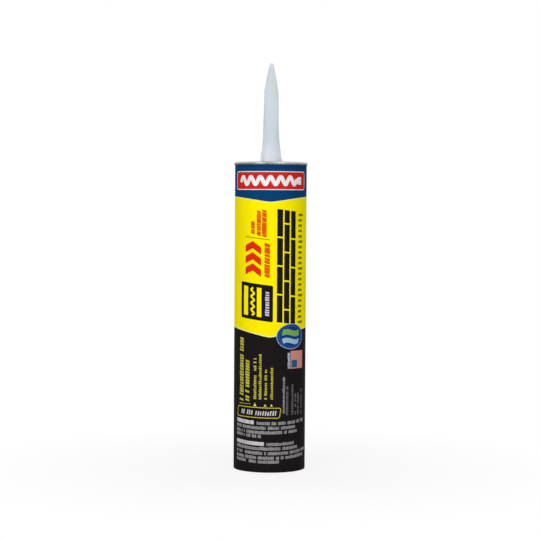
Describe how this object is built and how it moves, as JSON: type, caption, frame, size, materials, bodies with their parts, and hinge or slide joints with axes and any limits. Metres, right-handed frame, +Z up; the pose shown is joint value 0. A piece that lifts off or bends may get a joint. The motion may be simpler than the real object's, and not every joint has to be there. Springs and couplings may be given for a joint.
{
  "type": "construction adhesive cartridge",
  "caption": "Slim upright board tube of adhesive with a printed wrap label, crimped steel end, long tapered nozzle and a plunger that slides up the bore.",
  "frame": {"origin": "centre of the open foot of the tube, on the surface it stands on", "axes": "+Z up the tube's axis to the nozzle's tip; the front of the label faces -Y; +X to the right of the label's front"},
  "size_m": [0.0508, 0.0508, 0.2817],
  "materials": {
    "board": "matte",
    "print_yellow": "gloss",
    "print_black": "gloss",
    "print_blue": "gloss",
    "print_red": "gloss",
    "tinplate": "satin",
    "compound": "matte",
    "nozzle_plastic": "satin",
    "foil": "satin",
    "adhesive": "satin",
    "plunger_plastic": "satin"
  },
  "bodies": {
    "cartridge": {"tube": "board", "label_yellow": "print_yellow", "label_black": "print_black", "label_blue": "print_blue", "label_red": "print_red", "top_end": "tinplate", "seam_compound": "compound", "nozzle": "nozzle_plastic", "nozzle_foil": "foil", "adhesive": "adhesive"},
    "plunger": {"plunger": "plunger_plastic"}
  },
  "joints": [
    {"name": "plunger_slide", "type": "slide", "parent": "cartridge", "child": "plunger", "axis": [0, 0, 1], "range_m": [0, 0.166], "deforming": ["adhesive"]}
  ]
}
